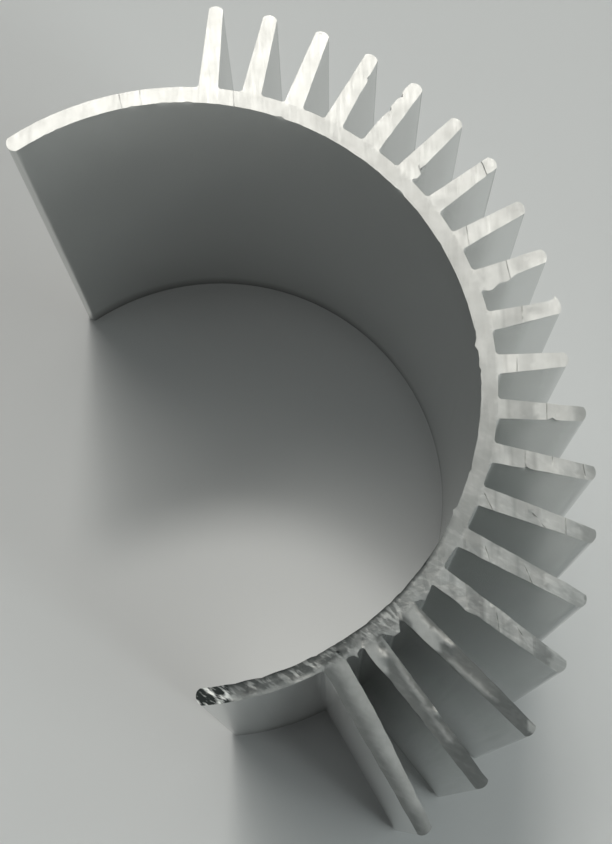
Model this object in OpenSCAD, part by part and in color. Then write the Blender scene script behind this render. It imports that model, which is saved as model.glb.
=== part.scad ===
// Clip-on motor heat sink: a length of aluminium extrusion, sawn square at both ends.
// The axis of the motor is Z, the lower cut lies on Z = 0, and +X runs through the middle of the fan of fins.

/* [Wall] */
// Diameter of the motor can that the wall wraps
bore_diameter = 36; // [30:0.5:44]
// Thickness of the wall
wall_thickness = 1; // [0.8:0.1:1.8]
// Length of extrusion between the two saw cuts
cut_length = 34; // [15:0.5:60]
// Plain arm beyond the first fin, in degrees
long_arm_angle = 38.2; // [20:0.2:55]
// Plain arm beyond the last fin, in degrees
short_arm_angle = 23.2; // [12:0.2:40]
// Radius of an arm's round end, as a share of the wall's thickness
arm_roundness = 0.56; // [0.52:0.02:0.8]

/* [Fins] */
// Number of fins
fin_count = 19; // [18:1:22]
// Angle from one fin to the next, in degrees
fin_pitch = 8.13; // [7.6:0.01:8.8]
// Thickness of a fin where it leaves the wall
fin_root = 1.2; // [0.9:0.05:1.4]
// Thickness of a fin at its tip
fin_tip = 0.85; // [0.65:0.05:0.9]
// Radius in the corner between a fin and the wall
root_fillet = 0.3; // [0.1:0.05:0.4]
// Radius of a fin's round tip, as a share of the tip's thickness
tip_roundness = 0.65; // [0.55:0.05:1]

/* [Fan of fins] */
// Length of the first fin, beside the long arm
first_fin_length = 5.4; // [4:0.1:8]
// Length of the shortest fin
short_fin_length = 4.25; // [3:0.05:6]
// Length of the fin where the long fins begin
long_fin_length = 10.1; // [7:0.1:12]
// Length of the last fin, beside the short arm
last_fin_length = 10.9; // [7:0.1:14]
// Place of the shortest fin in the row
short_fin_place = 11; // [6:1:13]
// Place in the row where the long fins begin
long_fin_place = 17; // [15:1:17]

/* [Hidden] */
$fn = 96;
bore_radius = bore_diameter / 2;
wall_radius = bore_radius + wall_thickness;
wall_middle = bore_radius + wall_thickness / 2;
first_fin_angle = fin_pitch * (fin_count - 1) / 2;
long_arm_end = first_fin_angle + long_arm_angle;
short_arm_end = -first_fin_angle - short_arm_angle;
wall_sweep = long_arm_end - short_arm_end;
// Corners of the sector that cuts the wall out of a ring, and how far out they lie.
sector_steps = 8;
sector_reach = 2 * wall_radius;
// The arc of a fillet meets the fin and the wall at this angle, in degrees.
fillet_meet = 20;

function on_circle(radius, angle) = radius * [cos(angle), sin(angle)];

// The fins are nearly even from the first to the shortest, then grow towards the last.
function fin_length(place) = lookup(place, [
    [1, first_fin_length],
    [short_fin_place, short_fin_length],
    [long_fin_place, long_fin_length],
    [fin_count, last_fin_length]
]);

// A fin's sides lean towards its tip by this angle.
function fin_lean(length) = atan((fin_root - fin_tip) / 2 / length);

// How far from the motor's axis the line of a fin's side passes.
function side_distance(lean) = wall_radius * sin(lean) + fin_root / 2 * cos(lean);

// Half a fin's thickness at a distance along it from the motor's axis.
function half_fin(along, lean) = (side_distance(lean) - along * sin(lean)) / cos(lean);

// The part of a ring between the two arms' ends, each of which is round.
module wall_outline() {
    intersection() {
        difference() {
            circle(wall_radius);
            circle(bore_radius);
        }
        union() {
            polygon(concat([[0, 0]], [
                for (step = [0:sector_steps])
                    on_circle(sector_reach, short_arm_end + wall_sweep * step / sector_steps)
            ]));
            for (angle = [short_arm_end, long_arm_end])
                translate(on_circle(wall_middle, angle))
                    circle(arm_roundness * wall_thickness);
        }
    }
}

// One fin, with leaning sides and a round tip.
module fin_blade(length) {
    lean = fin_lean(length);
    tip = wall_radius + length;
    past_tip = tip + fin_tip;
    tip_radius = tip_roundness * fin_tip;
    intersection() {
        polygon([
            [wall_middle, -half_fin(wall_middle, lean)],
            [past_tip, -half_fin(past_tip, lean)],
            [past_tip, half_fin(past_tip, lean)],
            [wall_middle, half_fin(wall_middle, lean)]
        ]);
        union() {
            translate([0, -fin_root])
                square([tip - tip_radius, 2 * fin_root]);
            translate([tip - tip_radius, 0])
                circle(tip_radius);
        }
    }
}

// The fillet on one side of a fin, in the corner between its leaning side and the round wall.
module fin_fillet(length) {
    lean = fin_lean(length);
    clear = root_fillet * cos(fillet_meet);
    across = side_distance(lean) + clear;
    along = sqrt(pow(wall_radius + clear, 2) - pow(across, 2));
    centre = [along, across];
    fin_middle = side_distance(lean) - fin_root / 2;
    rotate(-lean)
        difference() {
            polygon([
                [along, fin_middle],
                centre,
                centre * wall_middle / norm(centre),
                [wall_middle, fin_middle]
            ]);
            translate(centre)
                circle(root_fillet);
        }
}

module fin_outline(length) {
    fin_blade(length);
    fin_fillet(length);
    mirror([0, 1])
        fin_fillet(length);
}

module heat_sink() {
    color([0.74, 0.75, 0.74])
        linear_extrude(cut_length) {
            wall_outline();
            for (place = [1:fin_count])
                rotate(first_fin_angle - fin_pitch * (place - 1))
                    fin_outline(fin_length(place));
        }
}

heat_sink();
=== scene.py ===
import random
from bisect import bisect_right
from math import atan2, cos, degrees, exp, hypot, radians, sin

import bpy
import numpy
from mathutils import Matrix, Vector, noise


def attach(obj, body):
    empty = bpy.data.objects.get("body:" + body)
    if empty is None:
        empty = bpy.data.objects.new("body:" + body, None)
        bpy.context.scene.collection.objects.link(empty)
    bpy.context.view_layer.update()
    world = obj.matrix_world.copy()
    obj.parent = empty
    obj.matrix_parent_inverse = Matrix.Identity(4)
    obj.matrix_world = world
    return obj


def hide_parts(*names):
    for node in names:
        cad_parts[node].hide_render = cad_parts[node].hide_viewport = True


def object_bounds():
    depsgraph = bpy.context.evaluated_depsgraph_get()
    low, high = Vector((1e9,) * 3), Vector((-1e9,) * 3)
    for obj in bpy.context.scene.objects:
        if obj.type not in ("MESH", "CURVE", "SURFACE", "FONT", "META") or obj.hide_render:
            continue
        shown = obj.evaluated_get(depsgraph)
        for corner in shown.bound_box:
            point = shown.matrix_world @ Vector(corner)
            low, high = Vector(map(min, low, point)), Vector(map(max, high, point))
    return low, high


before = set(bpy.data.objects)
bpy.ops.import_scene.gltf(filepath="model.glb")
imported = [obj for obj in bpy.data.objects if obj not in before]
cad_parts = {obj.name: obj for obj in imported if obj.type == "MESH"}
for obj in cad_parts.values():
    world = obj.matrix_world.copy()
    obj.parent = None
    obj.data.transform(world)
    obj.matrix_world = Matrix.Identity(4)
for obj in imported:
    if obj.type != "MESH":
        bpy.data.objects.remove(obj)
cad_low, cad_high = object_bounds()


# The section: one aluminium profile, pressed through a die with its wall, two arms and fan of
# fins in one piece. Only the end that it stands on is kept here, as one flat face with a
# narrow rim, and the saw's lines are drawn on it before it is given its length.
MM = 0.001
merge_distance = 0.001
rim_width = 0.14
straight_down = -0.99
sink = bpy.data.objects.new("finned_extrusion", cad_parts["heat_sink"].data.copy())
bpy.context.collection.objects.link(sink)
bpy.ops.object.select_all(action="DESELECT")
bpy.context.view_layer.objects.active = sink
sink.select_set(True)


def choose_faces(chosen):
    """Select the faces that a test picks out, and no others."""
    bpy.ops.mesh.select_mode(type="FACE")
    bpy.ops.mesh.select_all(action="DESELECT")
    bpy.ops.object.mode_set(mode="OBJECT")
    for face in sink.data.polygons:
        face.select = chosen(face)
    bpy.ops.object.mode_set(mode="EDIT")


bpy.ops.object.mode_set(mode="EDIT")
bpy.ops.mesh.select_mode(type="FACE")
bpy.ops.mesh.select_all(action="SELECT")
bpy.ops.mesh.remove_doubles(threshold=merge_distance * MM)
choose_faces(lambda face: face.normal.z > straight_down)
bpy.ops.mesh.delete(type="FACE")
bpy.ops.mesh.select_all(action="SELECT")
bpy.ops.mesh.inset(thickness=rim_width * MM, use_even_offset=True)


# The fan of fins, as a bench hand would count it: fin 1 stands beside the long arm, and fin 19
# beside the short one. A place on a fin is told by how far out from the wall it lies, and how
# far to the left of the fin's middle.
fin_count = 19
fin_pitch = radians(8.13)
first_fin_angle = fin_pitch * (fin_count - 1) / 2
bore_radius = 18
wall_radius = 19
half_fin = 0.55


def fin_angle(number):
    """The angle at which a fin stands, turned from +X towards +Y."""
    return first_fin_angle - fin_pitch * (number - 1)


def fin_ways(number):
    """The way out along a fin, and the way to its left."""
    angle = fin_angle(number)
    return Vector((cos(angle), sin(angle), 0)), Vector((-sin(angle), cos(angle), 0))


def fin_place(x, y):
    """The nearest fin's number, the way out along it from the wall, and the way to its left."""
    number = round((first_fin_angle - atan2(y, x)) / fin_pitch) + 1
    number = min(max(number, 1), fin_count)
    angle = fin_angle(number)
    out = x * cos(angle) + y * sin(angle) - wall_radius
    return number, out, y * cos(angle) - x * sin(angle)


# The saw lines: edges where the teeth of a saw crossed the end, and where each stroke began.
# The last three fins have lines lengthwise too, since the saw dragged their metal out along them.
saw_turn = radians(-10)
across_teeth = Vector((cos(saw_turn), sin(saw_turn), 0))
along_teeth = Vector((-sin(saw_turn), cos(saw_turn), 0))
tooth_gap = (0.13, 0.30)
stroke_gap = (0.20, 0.26)
saw_reach = 33
line_snap = 0.1
torn_fins = (17, 18, 19)
drag_lines = (-0.48, -0.36, -0.24, -0.12, 0, 0.12, 0.24, 0.36, 0.48)


def uneven_steps(gap, seed):
    """Places from one side of the part to the other, with uneven gaps."""
    draw = random.Random(seed)
    places = [-saw_reach]
    while places[-1] < saw_reach:
        places.append(places[-1] + draw.uniform(*gap))
    return places


def score_line(place, square, snap):
    """Cut the selected faces along a line through a place, and mark the line to be kept."""
    bpy.ops.mesh.select_mode(type="EDGE")
    bpy.ops.mesh.bisect(plane_co=place * MM, plane_no=square, threshold=snap * MM)
    bpy.ops.mesh.mark_seam()


tooth_lines = uneven_steps(tooth_gap, seed=4)
stroke_lines = uneven_steps(stroke_gap, seed=9)
for direction, places in ((across_teeth, tooth_lines), (along_teeth, stroke_lines)):
    for place in places:
        bpy.ops.mesh.select_all(action="SELECT")
        score_line(direction * place, direction, line_snap)


def on_fin(face, number):
    """Whether a face lies on a fin, beyond the wall."""
    nearest, out, left = fin_place(face.center.x / MM, face.center.y / MM)
    return nearest == number and out > 0 and abs(left) < 2 * half_fin


for number in torn_fins:
    outward, leftward = fin_ways(number)
    for drag_line in drag_lines:
        choose_faces(lambda face: on_fin(face, number))
        score_line(leftward * drag_line, leftward, line_snap)


# The cracks: narrow splits across some fins and the wall, where a tooth caught and pulled the
# metal apart. Each leans to the left from square to its fin by so many degrees.
cracks = [
    {"fin": 1, "out": -1.3, "left": 5.3, "lean": -73, "reach": 0.7},
    {"fin": 1, "out": -0.9, "left": 4.1, "lean": -77, "reach": 0.7},
    {"fin": 2, "out": -0.5, "left": 1.0, "lean": -75, "reach": 0.6},
    {"fin": 7, "out": 3.9, "left": 0, "lean": -15, "reach": 0.7},
    {"fin": 8, "out": 0.7, "left": 0, "lean": -20, "reach": 0.7},
    {"fin": 9, "out": 2.0, "left": 0, "lean": -10, "reach": 0.7},
    {"fin": 10, "out": 2.0, "left": 0, "lean": -10, "reach": 0.7},
    {"fin": 11, "out": 1.2, "left": 0, "lean": -5, "reach": 0.7},
    {"fin": 12, "out": 2.9, "left": 0, "lean": 5, "reach": 0.7},
    {"fin": 13, "out": 2.0, "left": 0, "lean": 10, "reach": 0.7},
    {"fin": 13, "out": 3.6, "left": 0, "lean": 10, "reach": 0.7},
    {"fin": 13, "out": 5.5, "left": 0, "lean": 20, "reach": 0.7},
    {"fin": 14, "out": 0.6, "left": -0.2, "lean": 45, "reach": 0.6},
    {"fin": 14, "out": 3.7, "left": -0.2, "lean": 60, "reach": 0.6},
    {"fin": 14, "out": 5.3, "left": 0, "lean": 20, "reach": 0.7},
    {"fin": 15, "out": 1.9, "left": -0.3, "lean": 45, "reach": 0.6},
    {"fin": 15, "out": 4.5, "left": -0.2, "lean": 50, "reach": 0.7},
    {"fin": 16, "out": 4.3, "left": 0, "lean": 45, "reach": 0.8},
    {"fin": 16, "out": 6.1, "left": 0, "lean": 65, "reach": 0.8},
]
half_crack = 0.04
crack_snap = 0.003
crack_depth = 0.06
shallow_cracks = {1: 0.45, 2: 0.6}
crack_waves = 2.5
crack_layer = 30
crack_opens = (-0.3, 0.2)
lip_width = 0.5
flat_within = radians(0.5)


def crack_line(crack):
    """The middle of a crack, and the way square to it."""
    outward, leftward = fin_ways(crack["fin"])
    lean = radians(crack["lean"])
    middle = outward * (wall_radius + crack["out"]) + leftward * crack["left"]
    return middle, outward * cos(lean) + leftward * sin(lean)


crack_lines = [(crack, *crack_line(crack)) for crack in cracks]


def share(value, low, high):
    """How far a value has come on its way from low to high, from 0 to 1."""
    return min(max((value - low) / (high - low), 0), 1)


def in_crack(x, y):
    """How deep in a crack a place lies, and how far up the lip beyond it, both from 0 to 1."""
    number, out, left = fin_place(x, y)
    deep, lip = 0, 0
    for crack, middle, square in crack_lines:
        away = Vector((x, y, 0)) - middle
        across = away.dot(square)
        if crack["fin"] == number and (away - square * across).length < crack["reach"]:
            opening = noise.noise((x * crack_waves, y * crack_waves, crack_layer))
            full_depth = shallow_cracks.get(number, 1) * share(opening, *crack_opens)
            deep = max(deep, full_depth * share(abs(across), half_crack, 0))
            if across > 0:
                lip = max(lip, share(across, lip_width, half_crack))
    return deep, lip


for crack, middle, square in crack_lines:
    for offset in (-half_crack, 0, half_crack):
        choose_faces(lambda face: (face.center / MM - middle).length < crack["reach"])
        score_line(middle + square * offset, square, crack_snap)
bpy.ops.mesh.select_all(action="SELECT")
bpy.ops.mesh.dissolve_limited(angle_limit=flat_within, delimit={"SEAM"})
bpy.ops.mesh.mark_seam(clear=True)


# The length: the section drawn out to its cut length, with rings of edges round it.
# The rings are closer near the cuts, where the saw bent the metal.
cut_length = cad_high[2] / MM
from_cut = (0.35, 0.7, 1.2, 2, 3.5, 6.5, 11)
upper_rim = 0.13
level_within = 0.001
rings = [0, *from_cut, cut_length / 2]
rings += [cut_length - ring for ring in reversed(from_cut)]
rings += [cut_length - upper_rim, cut_length]
bpy.ops.mesh.select_all(action="SELECT")
for low, high in zip(rings, rings[1:]):
    rise = (0, 0, (high - low) * MM)
    bpy.ops.mesh.extrude_region_move(TRANSFORM_OT_translate={"value": rise})
bpy.ops.mesh.select_all(action="SELECT")
bpy.ops.mesh.normals_make_consistent(inside=False)
bpy.ops.object.mode_set(mode="OBJECT")
mesh = sink.data


def lies_at(face, height):
    """Whether the whole of a face lies at a height."""
    heights = (mesh.vertices[index].co.z / MM for index in face.vertices)
    return all(abs(level - height) < level_within for level in heights)


sawn_faces = {
    face.index for face in mesh.polygons if lies_at(face, cut_length) or lies_at(face, 0)
}


# The tooth marks: a coarse hand saw left bands on the cut with a step between them, each from
# one tooth catching. It ran clean beside the long arm, and tore the metal more and more on its
# way out by the short arm.
clean_to_torn = {"turn": (-98, -80, -50, -20, 55, 70), "tear": (2.4, 1.7, 1.0, 0.7, 0.6, 0.35)}
tooth_step = 0.045
band_tilt = 0.05
new_band_chance = 0.45
band_seeds = (0, 900)
long_wave = {"waves": 0.4, "layer": 0.5}
short_wave = {"waves": 1.2, "layer": 7.5, "share": 0.4}
draw = random.Random(21)
tooth_bands = []
for place in tooth_lines:
    if not tooth_bands or draw.random() < new_band_chance:
        band = {
            "seed": draw.uniform(*band_seeds),
            "start": place,
            "tilt": draw.uniform(-band_tilt, band_tilt),
            "smeared_and_shaded": draw.random(),
        }
    tooth_bands.append(band)


def turn_of(x, y):
    """The turn of a place round the bore, in degrees from +X towards +Y."""
    return degrees(atan2(y, x))


def saw_place(x, y):
    """A place told across the tooth lines and along them."""
    across = x * cos(saw_turn) + y * sin(saw_turn)
    return across, y * cos(saw_turn) - x * sin(saw_turn)


def lines_beside(across):
    """The tooth lines beside a place, and how far it lies from the first to the second."""
    after = min(max(bisect_right(tooth_lines, across), 1), len(tooth_lines) - 1)
    return after - 1, after, share(across, tooth_lines[after - 1], tooth_lines[after])


def tooth_height(line, along):
    """Height of one tooth line, before it is scaled by how torn the cut is there."""
    band = tooth_bands[line]
    wave = noise.noise((band["seed"], along * long_wave["waves"], long_wave["layer"]))
    ripple = noise.noise((band["seed"], along * short_wave["waves"], short_wave["layer"]))
    tilted = band["tilt"] * (tooth_lines[line] - band["start"])
    return tooth_step * (wave + short_wave["share"] * ripple) + tilted


def tooth_marks(x, y):
    """Height of the sawn face at a place, between the two tooth lines beside it."""
    across, along = saw_place(x, y)
    before, after, part = lines_beside(across)
    return tooth_height(before, along) * (1 - part) + tooth_height(after, along) * part


def tear(x, y):
    """How torn the cut is at a place, from its turn round the bore."""
    return numpy.interp(turn_of(x, y), clean_to_torn["turn"], clean_to_torn["tear"])


# The torn tops: the saw rolled the outer ends of the later fins down, and tore the tops of the
# last three. Strips of bare metal stand a little higher on these, with a few bright specks.
rolled_from = {12: 4.7, 13: 5.5, 14: 5.3, 15: 6.6, 16: 6.8, 17: 6.9, 18: 7.4, 19: 9.5}
roll_slope = 0.1
bare_strips = [
    {
        "fin": 17, "bare": 1, "out": (-0.4, 0.5, 1.4, 2.3, 2.9),
        "low": (-0.3, -0.3, -0.6, -0.6, -0.5), "high": (0.5, 0.4, 0.25, 0.1, -0.4),
    },
    {
        "fin": 17, "bare": 1, "out": (1.8, 2.4, 3.0),
        "low": (0.2, 0.1, 0.25), "high": (0.3, 0.36, 0.36),
    },
    {
        "fin": 17, "bare": 0.6, "out": (3.6, 4.6, 6.2, 7.2),
        "low": (-0.4, -0.46, -0.36, -0.2), "high": (-0.36, -0.2, -0.16, -0.15),
    },
    {
        "fin": 17, "bare": 1, "out": (9.5, 9.9, 10.3),
        "low": (0.1, 0.0, 0.1), "high": (0.3, 0.4, 0.3),
    },
    {
        "fin": 18, "bare": 1, "out": (-0.3, 0.6, 1.4, 2.1),
        "low": (-0.7, -0.7, -0.7, -0.5), "high": (0.15, 0.05, -0.2, -0.4),
    },
    {
        "fin": 18, "bare": 0.65, "out": (0.1, 1.2, 2.4, 4.5, 6.0, 7.3),
        "low": (0.5, 0.4, 0.15, 0.1, 0.0, -0.05), "high": (0.7, 0.6, 0.36, 0.26, 0.16, 0.05),
    },
    {
        "fin": 19, "bare": 1, "out": (-0.3, 1.5, 10.9),
        "low": (0.3, 0.3, 0.25), "high": (1.0, 1.0, 1.0),
    },
]
strip_edge = {17: 0.1, 18: 0.1, 19: 0.5}
strip_wander = {17: 0.08, 18: 0.08, 19: 0.02}
strip_waves = 2.5
strip_layers = {"low": 3, "high": 6}
torn_drop = 0.03
torn_fade = (-0.3, 0.8)
specks = [
    {"fin": 17, "out": 3.2, "left": 0.25},
    {"fin": 18, "out": 1.2, "left": 0.0},
    {"fin": 18, "out": 5.6, "left": 0.4},
]
speck_size = 0.2
speck_height = 0.12


def hump(distance, width):
    """A smooth hump, 1 high, that has died away at about twice its width."""
    return exp(-(distance / width) ** 2)


def speck_humps(number, out, left):
    """How far up each bright speck of its fin a place lies, from 0 to 1."""
    return [
        hump(hypot(out - speck["out"], left - speck["left"]), speck_size)
        for speck in specks if speck["fin"] == number
    ]


def strip_side(strip, side, out):
    """How far to the left the low or the high side of a bare strip lies."""
    wander = noise.noise((out * strip_waves, strip["fin"], strip_layers[side]))
    return numpy.interp(out, strip["out"], strip[side]) + strip_wander[strip["fin"]] * wander


def bareness(number, out, left):
    """How far a place on a torn fin lies on a strip or a speck of bare metal, from 0 to 1."""
    bare = 0
    edge = strip_edge[number]
    for strip in bare_strips:
        if strip["fin"] == number and strip["out"][0] <= out <= strip["out"][-1]:
            low, high = strip_side(strip, "low", out), strip_side(strip, "high", out)
            within = share(left, low - edge, low) * share(left, high + edge, high)
            bare = max(bare, strip["bare"] * within)
    return max([bare, *speck_humps(number, out, left)])


def torn_height(x, y):
    """What the saw took off beyond its tooth marks: cracks, rolled ends and torn tops."""
    number, out, left = fin_place(x, y)
    deep, lip = in_crack(x, y)
    height = -crack_depth * deep
    if out > rolled_from.get(number, out):
        height -= roll_slope * (out - rolled_from[number])
    if number in torn_fins and out > torn_fade[0]:
        height -= torn_drop * (1 - bareness(number, out, left)) * share(out, *torn_fade)
    return height + speck_height * sum(speck_humps(number, out, left))


# The broken edges: bites and lips along the fins, flaps of burr on the wall between the last
# ones, and small burrs and chips along the bore. The saw pushed all of them out of the metal
# beside its cut, so they die away just below it.
bites_and_lips = [
    {"fin": 4, "out": 3.7, "side": -1, "reach": -0.25, "length": 0.13},
    {"fin": 4, "out": 3.2, "side": -1, "reach": 0.06, "length": 0.4},
    {"fin": 4, "out": 3.0, "side": 1, "reach": -0.10, "length": 0.12},
    {"fin": 5, "out": 4.2, "side": 1, "reach": 0.06, "length": 0.4},
    {"fin": 5, "out": 3.7, "side": 1, "reach": -0.22, "length": 0.13},
    {"fin": 5, "out": 2.5, "side": 1, "reach": -0.22, "length": 0.13},
    {"fin": 6, "out": 1.0, "side": -1, "reach": -0.20, "length": 0.13},
    {"fin": 6, "out": 0.5, "side": -1, "reach": 0.30, "length": 0.3},
    {"fin": 7, "out": 3.9, "side": -1, "reach": -0.10, "length": 0.15},
    {"fin": 9, "out": 0.6, "side": -1, "reach": 0.35, "length": 0.5},
    {"fin": 9, "out": 1.7, "side": -1, "reach": 0.20, "length": 0.4},
    {"fin": 10, "out": 4.2, "side": 1, "reach": 0.35, "length": 0.2},
    {"fin": 12, "out": 3.2, "side": -1, "reach": -0.18, "length": 0.15},
    {"fin": 13, "out": 2.2, "side": -1, "reach": -0.15, "length": 0.15},
    {"fin": 16, "out": 2.6, "side": -1, "reach": 0.15, "length": 0.4},
    {"fin": 18, "out": 1.0, "side": -1, "reach": 0.12, "length": 0.8},
    {"fin": 19, "out": 3.5, "side": 1, "reach": 0.28, "length": 6},
]
bites_from = -0.5
burr_flaps = [
    {"turn": -52.6, "reach": 0.35, "length": 0.5},
    {"turn": -60.3, "reach": 0.45, "length": 0.5},
    {"turn": -61.7, "reach": 0.35, "length": 0.3},
    {"turn": -68.9, "reach": 0.25, "length": 0.3},
]
flap_fade = (0.9, 0.3)
flap_tear = 1.2
flap_waves = 2.6
flap_layer = 8
inner_burrs = [
    {"turn": -3.9, "reach": 0.22, "length": 0.14},
    {"turn": -8, "reach": 0.18, "length": 0.14},
    {"turn": -36.8, "reach": 0.18, "length": 0.15},
]
edge_wander = 0.035
most_wander = 0.05
wander_waves = 1.4
wander_layer = 5
wander_seed = 7
noise.seed_set(wander_seed)
chip_depth = 0.25
chip_waves = 1.6
chip_layer = 14
chips_above = 0.25
bore_edge = 0.3


def hump_round(x, y, mark, radius):
    """A hump at a mark's turn, as long as the mark is round a circle."""
    return hump(radians(turn_of(x, y) - mark["turn"]) * radius, mark["length"])


def pushed_sideways(x, y):
    """How far the saw pushed the metal at a place sideways."""
    number, out, left = fin_place(x, y)
    outward, leftward = fin_ways(number)
    ragged = noise.noise_vector((x * wander_waves, y * wander_waves, wander_layer))
    push = ragged * min(edge_wander * tear(x, y), most_wander)
    for mark in bites_and_lips:
        if mark["fin"] == number and out > bites_from:
            near_side = share(left * mark["side"], 0, half_fin)
            along_fin = hump(out - mark["out"], mark["length"])
            push += leftward * mark["side"] * mark["reach"] * near_side * along_fin
    radius = hypot(x, y)
    from_axis = Vector((x, y, 0)) / radius
    near_edge = share(radius, bore_radius + bore_edge, wall_radius) * share(out, *flap_fade)
    torn_edge = 1 + flap_tear * noise.noise((x * flap_waves, y * flap_waves, flap_layer))
    for flap in burr_flaps:
        along_wall = hump_round(x, y, flap, wall_radius)
        push += from_axis * flap["reach"] * torn_edge * near_edge * along_wall
    near_bore = share(radius, bore_radius + bore_edge, bore_radius)
    for burr in inner_burrs:
        push -= from_axis * burr["reach"] * near_bore * hump_round(x, y, burr, bore_radius)
    chip = max(noise.noise((x * chip_waves, y * chip_waves, chip_layer)) - chips_above, 0)
    push += from_axis * chip_depth * chip * near_bore
    return push.x, push.y


# The dragged metal and painted shade: a grey smear that the saw left where it tore and at the
# rolled ends, with painted shade in the cracks, a painted highlight on their lips and painted
# facet shade on the tooth bands. The cut is also darker along the bore's edge on the torn side.
# Dirt lies on the torn side with bright flecks in it, and is thickest at the end of the short
# arm.
dull_to_torn = {
    "turn": (-93, -90, -70, -60, -54, -40, -20, -8, 10, 25, 45, 55),
    "smear_and_shade": (0, 0.42, 0.35, 0.2, 0.2, 0.15, 0.13, 0, 0.04, 0.1, 0.06, 0),
    "flecks": (0.5, 0.5, 0.5, 0.5, 0.2, 0.12, 0.05, 0, 0, 0, 0, 0),
}
banded_turn = (25, 0)
banded_out = (-0.2, 0.4)
painted_band_shade = 0.45
even_shade = 0.5
rolled_smear = 0.05
torn_smear = 0.68
strip_smear = 0.26
dull_wall = 0.14
dull_wall_from = (-62, -50)
dull_wall_to = (74, 60)
inner_edge = (0.24, 0.1)
inner_edge_turn = (-30, -48)
painted_crack_shade = 0.4
painted_lip_highlight = 0.15


def band_at(x, y):
    """The band of tooth marks that a place lies in."""
    across, along = saw_place(x, y)
    before, after, part = lines_beside(across)
    return tooth_bands[before]


def smear_and_shade(x, y):
    """How far dragged metal, painted shade and a darker bore's edge darken the cut evenly, less a
    painted highlight on crack lips, from 0 to 1.
    """
    turn = turn_of(x, y)
    number, out, left = fin_place(x, y)
    dark = numpy.interp(turn, dull_to_torn["turn"], dull_to_torn["smear_and_shade"])
    banded = share(turn, *banded_turn) * share(out, *banded_out)
    # Painted facet shade: each band of tooth marks is painted lighter or darker, as its facet
    # would catch the light.
    dark += painted_band_shade * (band_at(x, y)["smeared_and_shaded"] - even_shade) * banded
    if out > rolled_from.get(number, out):
        dark += rolled_smear
    if number in torn_fins and out > 0:
        dark = torn_smear + (strip_smear - torn_smear) * bareness(number, out, left)
    radius = hypot(x, y)
    if radius < wall_radius:
        dark += dull_wall * share(turn, *dull_wall_from) * share(turn, *dull_wall_to)
    dark_edge = share(radius - bore_radius, *inner_edge) * share(turn, *inner_edge_turn)
    # Painted shade fills the cracks, and a painted highlight lies on the lip beside each.
    deep, lip = in_crack(x, y)
    return max(dark - painted_lip_highlight * lip, dark_edge, painted_crack_shade * deep)


dragged_from = 0.2
dragged_flecks = 0.15
flecks_past_wall = 0.3
dirty_arm_turn = (-45, -78)
band_dirt = 0.3
dirty_bands = (0.3, 0.7)
bright_edge = 0.16
arm_end_turn = (-91, -92)


def flecks(x, y):
    """How far dirt between bright flecks darkens the cut, from 0 to 1."""
    turn = turn_of(x, y)
    number, out, left = fin_place(x, y)
    if number in torn_fins and out > dragged_from:
        return dragged_flecks * (1 - bareness(number, out, left))
    dark = numpy.interp(turn, dull_to_torn["turn"], dull_to_torn["flecks"])
    radius = hypot(x, y)
    if radius < wall_radius + flecks_past_wall:
        on_arm = share(turn, *dirty_arm_turn)
        dark += band_dirt * share(band_at(x, y)["smeared_and_shaded"], *dirty_bands) * on_arm
        outer_edge = share(radius, wall_radius - 2 * bright_edge, wall_radius - bright_edge)
        dark *= 1 - on_arm * outer_edge
        dark = max(dark, share(turn, *arm_end_turn))
    return dark


# The upper cut: the tooth marks, torn tops and broken edges are worked into the metal near the
# end, and the dragged metal, the painted shade and the dirt are noted on it. The dragged tops are
# smoother than the rest, and the saw ran more calmly over the clean side of the wall than over
# the fins.
sink_depth = 4
push_depth = 0.7
push_fade = 3
torn_turn = (-35, -60)
smooth_share = 0.25
calm_wall = 0.5
calm_turn = (-55, -45)
calm_out = (0.3, 0)
wear_and_shade = ("smear_and_shade", "flecked", "torn", "painted_foot_shade")
for name in wear_and_shade:
    mesh.attributes.new(name, "FLOAT", "POINT")
smear_and_shade_data, flecked, torn, painted_foot_shade = (mesh.attributes[name].data for name in wear_and_shade)
for vertex in mesh.vertices:
    x, y, z = vertex.co / MM
    depth = cut_length - z
    if depth > sink_depth:
        continue
    number, out, left = fin_place(x, y)
    turn = turn_of(x, y)
    dragged_smooth = smooth_share if number in torn_fins and out > 0 else 1
    calm = 1 - calm_wall * share(out, *calm_out) * share(turn, *calm_turn)
    level = tear(x, y) * tooth_marks(x, y) * dragged_smooth * calm + torn_height(x, y)
    push_x, push_y = pushed_sideways(x, y)
    pushed = share(depth, push_depth, 0) ** push_fade
    sunk = share(depth, sink_depth, 0)
    smear_and_shade_data[vertex.index].value = smear_and_shade(x, y)
    flecked[vertex.index].value = flecks(x, y)
    torn[vertex.index].value = share(turn, *torn_turn) * dragged_smooth
    vertex.co = Vector((x + push_x * pushed, y + push_y * pushed, z + level * sunk)) * MM


# The lower cut: made by the same saw, and worn flatter, because the sink stands on it.
# Its edges were broken with a file, and a thin band of painted shade darkens the sides round the
# foot.
lower_step = 0.4
lower_depth = 0.7
filed_edge = 0.3
inner_foot_shade = (2, 0.4)
outer_foot_shade = (5, 1)
side_vertices = {
    index for face in mesh.polygons if face.index not in sawn_faces for index in face.vertices
}
for index in side_vertices:
    if mesh.vertices[index].co.z / MM < level_within:
        mesh.vertices[index].co.z += filed_edge * MM
for vertex in mesh.vertices:
    x, y, z = vertex.co / MM
    number, out, left = fin_place(x, y)
    outside = hypot(x, y) > (bore_radius + wall_radius) / 2 and out < half_fin
    # Painted contact shade: the sides are painted darker near the floor, over a taller band on
    # the outer wall.
    painted_foot_shade[vertex.index].value = share(z, *(outer_foot_shade if outside else inner_foot_shade))
    if z < lower_depth:
        worn_marks = lower_step * abs(tooth_marks(x, y))
        vertex.co.z += worn_marks * share(z, lower_depth, 0) * MM
mesh.update()


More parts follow.
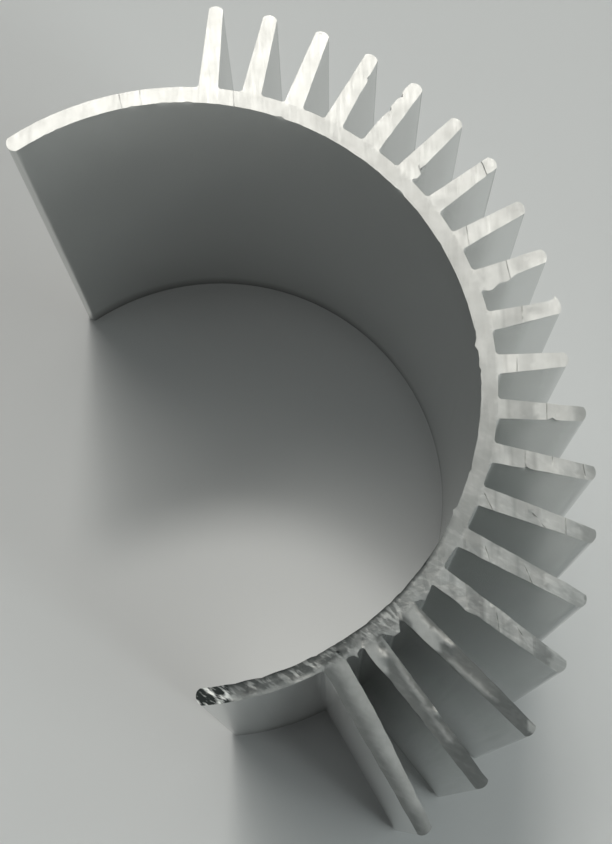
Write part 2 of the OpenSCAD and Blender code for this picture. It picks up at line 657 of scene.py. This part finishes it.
# The bare alloy: the sides and the sawn ends are the same uncoated metal, so both have fine
# lines and a cloudy bloom, each at its own scale and direction.
def lines_and_bloom():
    """A group that gives fine lines and a soft bloom, both from 0 to 1."""
    group = bpy.data.node_groups.new("lines_and_bloom", "ShaderNodeTree")
    new_socket = group.interface.new_socket
    new_socket("Vector", in_out="INPUT", socket_type="NodeSocketVector")
    new_socket("Line Stretch", in_out="INPUT", socket_type="NodeSocketVector")
    new_socket("Bloom Scale", in_out="INPUT", socket_type="NodeSocketFloat")
    new_socket("Lines", in_out="OUTPUT", socket_type="NodeSocketFloat")
    new_socket("Bloom", in_out="OUTPUT", socket_type="NodeSocketFloat")
    nodes, links = group.nodes, group.links
    given = nodes.new("NodeGroupInput")
    put_out = nodes.new("NodeGroupOutput")
    stretch = nodes.new("ShaderNodeVectorMath")
    stretch.operation = "MULTIPLY"
    lines = nodes.new("ShaderNodeTexNoise")
    lines.inputs["Scale"].default_value = 1
    lines.inputs["Detail"].default_value = 3
    lines.inputs["Roughness"].default_value = 0.6
    bloom = nodes.new("ShaderNodeTexNoise")
    bloom.inputs["Detail"].default_value = 4
    bloom.inputs["Roughness"].default_value = 0.55
    links.new(given.outputs["Vector"], stretch.inputs[0])
    links.new(given.outputs["Line Stretch"], stretch.inputs[1])
    links.new(stretch.outputs["Vector"], lines.inputs["Vector"])
    links.new(given.outputs["Vector"], bloom.inputs["Vector"])
    links.new(given.outputs["Bloom Scale"], bloom.inputs["Scale"])
    links.new(lines.outputs["Fac"], put_out.inputs["Lines"])
    links.new(bloom.outputs["Fac"], put_out.inputs["Bloom"])
    return group


alloy_texture = lines_and_bloom()
line_range = (0.3, 0.7)


def bare_alloy(name, turn, stretch, bloom_scale, colours, roughness, bump):
    """Bare metal: lines turned about Z and stretched per metre, and a bloom in its colour."""
    material = bpy.data.materials.new(name)
    material.use_nodes = True
    nodes, links = material.node_tree.nodes, material.node_tree.links
    shader = nodes["Principled BSDF"]
    place = nodes.new("ShaderNodeTexCoord")
    turned = nodes.new("ShaderNodeMapping")
    turned.vector_type = "TEXTURE"
    turned.inputs["Rotation"].default_value = (0, 0, turn)
    texture = nodes.new("ShaderNodeGroup")
    texture.node_tree = alloy_texture
    texture.inputs["Line Stretch"].default_value = stretch
    texture.inputs["Bloom Scale"].default_value = bloom_scale
    tint = nodes.new("ShaderNodeMix")
    tint.data_type = "RGBA"
    tint.inputs["A"].default_value = (*colours[0], 1)
    tint.inputs["B"].default_value = (*colours[1], 1)
    gloss = nodes.new("ShaderNodeMapRange")
    gloss.inputs["From Min"].default_value = line_range[0]
    gloss.inputs["From Max"].default_value = line_range[1]
    gloss.inputs["To Min"].default_value = roughness[0]
    gloss.inputs["To Max"].default_value = roughness[1]
    raised = nodes.new("ShaderNodeBump")
    raised.inputs["Strength"].default_value = 1
    raised.inputs["Distance"].default_value = bump * MM
    links.new(place.outputs["Object"], turned.inputs["Vector"])
    links.new(turned.outputs["Vector"], texture.inputs["Vector"])
    links.new(texture.outputs["Bloom"], tint.inputs["Factor"])
    links.new(tint.outputs["Result"], shader.inputs["Base Color"])
    links.new(texture.outputs["Lines"], gloss.inputs["Value"])
    links.new(gloss.outputs["Result"], shader.inputs["Roughness"])
    links.new(texture.outputs["Lines"], raised.inputs["Height"])
    links.new(raised.outputs["Normal"], shader.inputs["Normal"])
    return material


def noted_wear_and_shade(material, name):
    """A node that reads one kind of wear or painted shade from the metal."""
    noted = material.node_tree.nodes.new("ShaderNodeAttribute")
    noted.attribute_name = name
    return noted.outputs["Fac"]


def cover(material, below, factor, colour):
    """A node that covers what lies below it with a colour, by a factor."""
    mix = material.node_tree.nodes.new("ShaderNodeMix")
    mix.data_type = "RGBA"
    mix.inputs["B"].default_value = (*colour, 1)
    material.node_tree.links.new(factor, mix.inputs["Factor"])
    material.node_tree.links.new(below, mix.inputs["A"])
    return mix.outputs["Result"]


# The sides: a mill finish, as the metal left the die, with faint lines along the length.
# A thin skin of oxide dulls it, and painted contact shade darkens it round the foot.
bare_share = 0.8
foot_shade_grey = (0.30, 0.30, 0.29)
mill_finish = bare_alloy(
    "mill_finish", turn=0, stretch=(2600, 2600, 30), bloom_scale=180,
    colours=((0.67, 0.68, 0.67), (0.75, 0.76, 0.75)), roughness=(0.18, 0.22), bump=0.001,
)
mill_shader = mill_finish.node_tree.nodes["Principled BSDF"]
mill_shader.inputs["Metallic"].default_value = bare_share
mill_colour = mill_shader.inputs["Base Color"].links[0].from_socket
# The painted contact shade covers the mill finish in a dull grey near the foot.
foot_shaded = cover(mill_finish, mill_colour, noted_wear_and_shade(mill_finish, "painted_foot_shade"), foot_shade_grey)
mill_finish.node_tree.links.new(foot_shaded, mill_shader.inputs["Base Color"])


# The sawn ends: bright metal, brushed across by the saw, so it shines in streaks.
# Dragged metal and painted shade darken it, dirt lies between bright flecks, which are painted
# glints where the dirt is thickest, and the torn side is gritty.
brushed = 0.9
smear_dirt_and_shade_grey = (0.05, 0.056, 0.055)
painted_glint_white = (0.98, 0.98, 0.96)
fleck_turn = radians(45)
fleck_size = (0.25, 0.9, 0.9)
fleck_range = (0.50, 0.62)
glint_where_thick = 6
torn_grain = 0.5
torn_bump = 0.05
map_middle = 0.5
sawn_metal = bare_alloy(
    "sawn_metal", turn=saw_turn, stretch=(5200, 700, 700), bloom_scale=700,
    colours=((0.53, 0.53, 0.515), (0.84, 0.84, 0.825)), roughness=(0.52, 0.58), bump=0.006,
)
sawn_nodes, sawn_links = sawn_metal.node_tree.nodes, sawn_metal.node_tree.links
sawn_shader = sawn_nodes["Principled BSDF"]
sawn_shader.inputs["Metallic"].default_value = 1
sawn_shader.inputs["Anisotropic"].default_value = brushed
saw_map = mesh.uv_layers.new(name="saw_marks")
for loop in mesh.loops:
    flat = mesh.vertices[loop.vertex_index].co / (2 * saw_reach * MM)
    on_map = (map_middle + flat.dot(across_teeth), map_middle + flat.dot(along_teeth))
    saw_map.uv[loop.index].vector = on_map
grain = sawn_nodes.new("ShaderNodeTangent")
grain.direction_type = "UV_MAP"
grain.uv_map = saw_map.name
sawn_links.new(grain.outputs["Tangent"], sawn_shader.inputs["Tangent"])

sawn_place = sawn_nodes.new("ShaderNodeTexCoord")
fleck_place = sawn_nodes.new("ShaderNodeMapping")
fleck_place.vector_type = "TEXTURE"
fleck_place.inputs["Rotation"].default_value = (0, 0, fleck_turn)
fleck_place.inputs["Scale"].default_value = [size * MM for size in fleck_size]
fleck_noise = sawn_nodes.new("ShaderNodeTexNoise")
fleck_noise.inputs["Scale"].default_value = 1
fleck_noise.inputs["Detail"].default_value = 2
fleck_edge = sawn_nodes.new("ShaderNodeMapRange")
fleck_edge.inputs["From Min"].default_value = fleck_range[0]
fleck_edge.inputs["From Max"].default_value = fleck_range[1]
fleck_edge.inputs["To Min"].default_value = 1
fleck_edge.inputs["To Max"].default_value = 0
between_flecks = sawn_nodes.new("ShaderNodeMath")
between_flecks.operation = "MULTIPLY"
glint_share = sawn_nodes.new("ShaderNodeMath")
glint_share.operation = "POWER"
glint_share.inputs[1].default_value = glint_where_thick
dirt = noted_wear_and_shade(sawn_metal, "flecked")
sawn_links.new(sawn_place.outputs["Object"], fleck_place.inputs["Vector"])
sawn_links.new(fleck_place.outputs["Vector"], fleck_noise.inputs["Vector"])
sawn_links.new(fleck_noise.outputs["Fac"], fleck_edge.inputs["Value"])
sawn_links.new(dirt, between_flecks.inputs[0])
sawn_links.new(fleck_edge.outputs["Result"], between_flecks.inputs[1])
sawn_links.new(dirt, glint_share.inputs[0])
sawn_colour = sawn_shader.inputs["Base Color"].links[0].from_socket
smeared_and_shaded = cover(sawn_metal, sawn_colour, noted_wear_and_shade(sawn_metal, "smear_and_shade"), smear_dirt_and_shade_grey)
# Painted glints: where the dirt is thickest, the bright flecks in it are painted near white.
glinted = cover(sawn_metal, smeared_and_shaded, glint_share.outputs["Value"], painted_glint_white)
dirtied = cover(sawn_metal, glinted, between_flecks.outputs["Value"], smear_dirt_and_shade_grey)
sawn_links.new(dirtied, sawn_shader.inputs["Base Color"])

grit = sawn_nodes.new("ShaderNodeTexNoise")
grit.inputs["Scale"].default_value = 1 / (torn_grain * MM)
grit.inputs["Detail"].default_value = 4
grit.inputs["Roughness"].default_value = 0.6
roughened = sawn_nodes.new("ShaderNodeBump")
roughened.inputs["Distance"].default_value = torn_bump * MM
lined_normal = sawn_shader.inputs["Normal"].links[0].from_socket
sawn_links.new(sawn_place.outputs["Object"], grit.inputs["Vector"])
sawn_links.new(grit.outputs["Fac"], roughened.inputs["Height"])
sawn_links.new(noted_wear_and_shade(sawn_metal, "torn"), roughened.inputs["Strength"])
sawn_links.new(lined_normal, roughened.inputs["Normal"])
sawn_links.new(roughened.outputs["Normal"], sawn_shader.inputs["Normal"])


# The finished sink: the sides take the mill finish, and the two ends the sawn metal.
# The tooth marks catch the light as flat facets, and only the dragged side is smooth. The edge
# round each cut is sharp.
smooth_turn = -54
mesh.materials.clear()
mesh.materials.append(mill_finish)
mesh.materials.append(sawn_metal)
for face in mesh.polygons:
    sawn = face.index in sawn_faces
    face.material_index = int(sawn)
    face.use_smooth = not sawn or turn_of(face.center.x, face.center.y) < smooth_turn
bpy.ops.object.mode_set(mode="EDIT")
choose_faces(lambda face: face.index in sawn_faces)
bpy.ops.mesh.region_to_loop()
bpy.ops.mesh.mark_sharp()
bpy.ops.object.mode_set(mode="OBJECT")
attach(sink, "root")
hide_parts("heat_sink")


# The floor: a plain pale sheet that the sink stands on, far wider than the view.
# It is matt, so that it shows the sink's shadow and no more.
floor_width = 20
floor_grey = (0.68, 0.685, 0.69)
bpy.ops.mesh.primitive_plane_add(size=floor_width)
floor = bpy.context.object
floor.name = "floor"
floor_paint = bpy.data.materials.new("pale_floor")
floor_paint.use_nodes = True
floor_shader = floor_paint.node_tree.nodes["Principled BSDF"]
floor_shader.inputs["Base Color"].default_value = (*floor_grey, 1)
floor_shader.inputs["Roughness"].default_value = 0.7
floor.data.materials.append(floor_paint)


# The light: a strip of window high behind the sink, broad soft light from above, from its right
# and from its left, and a small lamp in front that reaches in between the last fins.
# Headings turn from +X towards +Y, and every light is far enough away to be even over the floor.
def far_light(name, heading, elevation, width, strength, colour):
    """A round patch of even light, told in degrees by its middle and its width."""
    data = bpy.data.lights.new(name, "SUN")
    data.energy = strength
    data.angle = radians(width)
    data.color = colour
    lamp = bpy.data.objects.new(name, data)
    level, rise = cos(radians(elevation)), sin(radians(elevation))
    towards = Vector((cos(radians(heading)) * level, sin(radians(heading)) * level, rise))
    lamp.rotation_euler = towards.to_track_quat("Z", "Y").to_euler()
    lamp.visible_camera = False
    bpy.context.collection.objects.link(lamp)


warm = (1, 0.985, 0.93)
cool = (0.92, 1, 0.985)
far_light("window_1", heading=79, elevation=60, width=7, strength=0.51, colour=warm)
far_light("window_2", heading=88, elevation=60, width=7, strength=0.36, colour=warm)
far_light("window_3", heading=98, elevation=60, width=8, strength=0.20, colour=warm)
far_light("window_4", heading=109, elevation=61, width=9, strength=0.14, colour=warm)
far_light("window_5", heading=121, elevation=61, width=10, strength=0.10, colour=warm)
far_light("window_side", heading=58, elevation=69, width=20, strength=0.18, colour=warm)
far_light("right", heading=348, elevation=50, width=36, strength=0.38, colour=cool)
far_light("low_right", heading=322, elevation=12, width=24, strength=1.02, colour=cool)
far_light("front", heading=310, elevation=34, width=10, strength=0.28, colour=cool)
far_light("left", heading=168, elevation=20, width=30, strength=0.14, colour=cool)
far_light("ceiling", heading=78, elevation=88, width=36, strength=0.20, colour=cool)


# The room: what the metal mirrors, pale near the horizon and dark overhead, with no light of its
# own on the floor. Seen directly it is a plain backdrop, as pale as the floor.
horizon_grey = 0.45
zenith_grey = 0.02
backdrop_grey = 0.68
pale_below = radians(3)
dark_above = radians(40)
world = bpy.data.worlds.new("room")
bpy.context.scene.world = world
world.use_nodes = True
sky = world.node_tree
sky_place = sky.nodes.new("ShaderNodeTexCoord")
height = sky.nodes.new("ShaderNodeSeparateXYZ")
darkening = sky.nodes.new("ShaderNodeMapRange")
darkening.interpolation_type = "SMOOTHSTEP"
darkening.inputs["From Min"].default_value = sin(pale_below)
darkening.inputs["From Max"].default_value = sin(dark_above)
darkening.inputs["To Min"].default_value = horizon_grey
darkening.inputs["To Max"].default_value = zenith_grey
ray = sky.nodes.new("ShaderNodeLightPath")
backdrop = sky.nodes.new("ShaderNodeMix")
backdrop.inputs["B"].default_value = backdrop_grey
seen = sky.nodes.new("ShaderNodeMath")
seen.operation = "MAXIMUM"
seen_or_through = sky.nodes.new("ShaderNodeMath")
seen_or_through.operation = "MAXIMUM"
shown = sky.nodes.new("ShaderNodeMath")
shown.operation = "MULTIPLY"
sky.links.new(sky_place.outputs["Generated"], height.inputs["Vector"])
sky.links.new(height.outputs["Z"], darkening.inputs["Value"])
sky.links.new(ray.outputs["Is Camera Ray"], seen.inputs[0])
sky.links.new(ray.outputs["Is Glossy Ray"], seen.inputs[1])
sky.links.new(seen.outputs["Value"], seen_or_through.inputs[0])
sky.links.new(ray.outputs["Is Transmission Ray"], seen_or_through.inputs[1])
sky.links.new(ray.outputs["Is Camera Ray"], backdrop.inputs["Factor"])
sky.links.new(darkening.outputs["Result"], backdrop.inputs["A"])
sky.links.new(backdrop.outputs["Result"], shown.inputs[0])
sky.links.new(seen_or_through.outputs["Value"], shown.inputs[1])
sky.links.new(shown.outputs["Value"], sky.nodes["Background"].inputs["Color"])


# The camera: held above the sink's open side, and looking almost straight down at the upper cut.
# Its view is shifted, because the sink lies to one side of the way that the lens looks.
view = bpy.data.cameras.new("camera")
view.lens = 68.25
view.sensor_width = 36
view.shift_y = 0.15
view.clip_start = 0.005
camera = bpy.data.objects.new("camera", view)
camera.location = (3.524 * MM, -26.671 * MM, 126.092 * MM)
camera.rotation_euler = (radians(9.59), radians(0.872), radians(-12.03))
bpy.context.collection.objects.link(camera)
bpy.context.scene.camera = camera
bpy.context.scene.view_settings.view_transform = "Standard"
